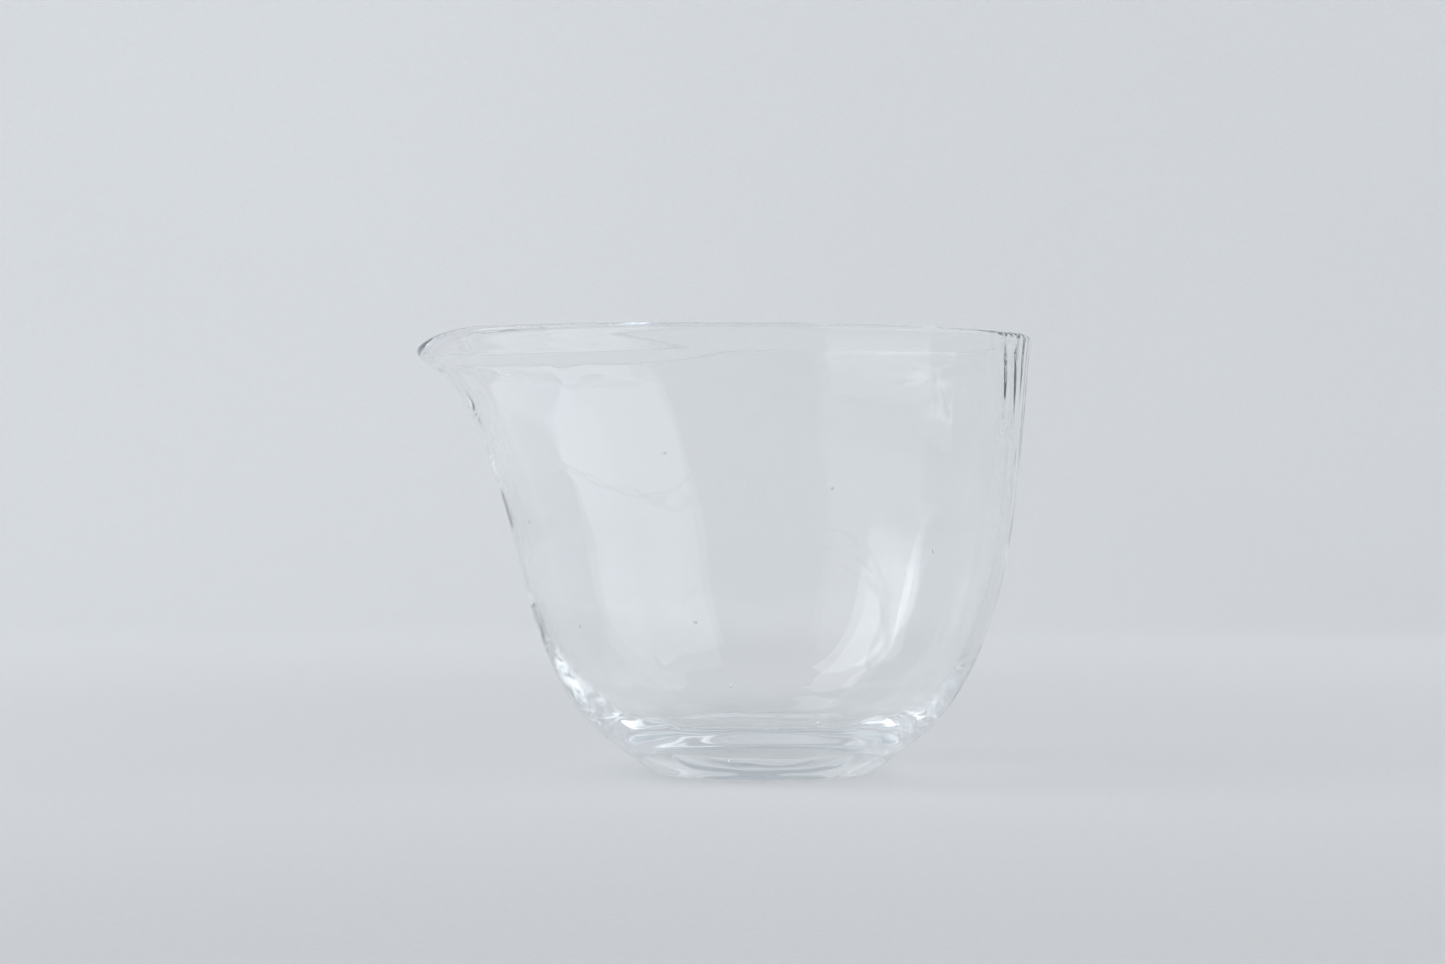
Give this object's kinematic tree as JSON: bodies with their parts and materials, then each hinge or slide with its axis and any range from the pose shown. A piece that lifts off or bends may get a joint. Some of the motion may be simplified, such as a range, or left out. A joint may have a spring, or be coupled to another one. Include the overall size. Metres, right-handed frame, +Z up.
{
  "type": "mixing bowl",
  "caption": "Small round mixing bowl of clear blown glass, with a flat foot ring, an oval rim and a drawn-out pouring lip.",
  "frame": {"origin": "on the bowl's round axis, in the plane of the ring that it stands on", "axes": "+Z up, -X towards the tip of the pouring lip, +Y to the side"},
  "size_m": [0.12, 0.1046, 0.0852],
  "materials": {
    "glass": "clear blown glass, fire-polished, with faint ripples and a few seeds"
  },
  "bodies": {
    "root": {"bowl": "glass"}
  },
  "joints": []
}
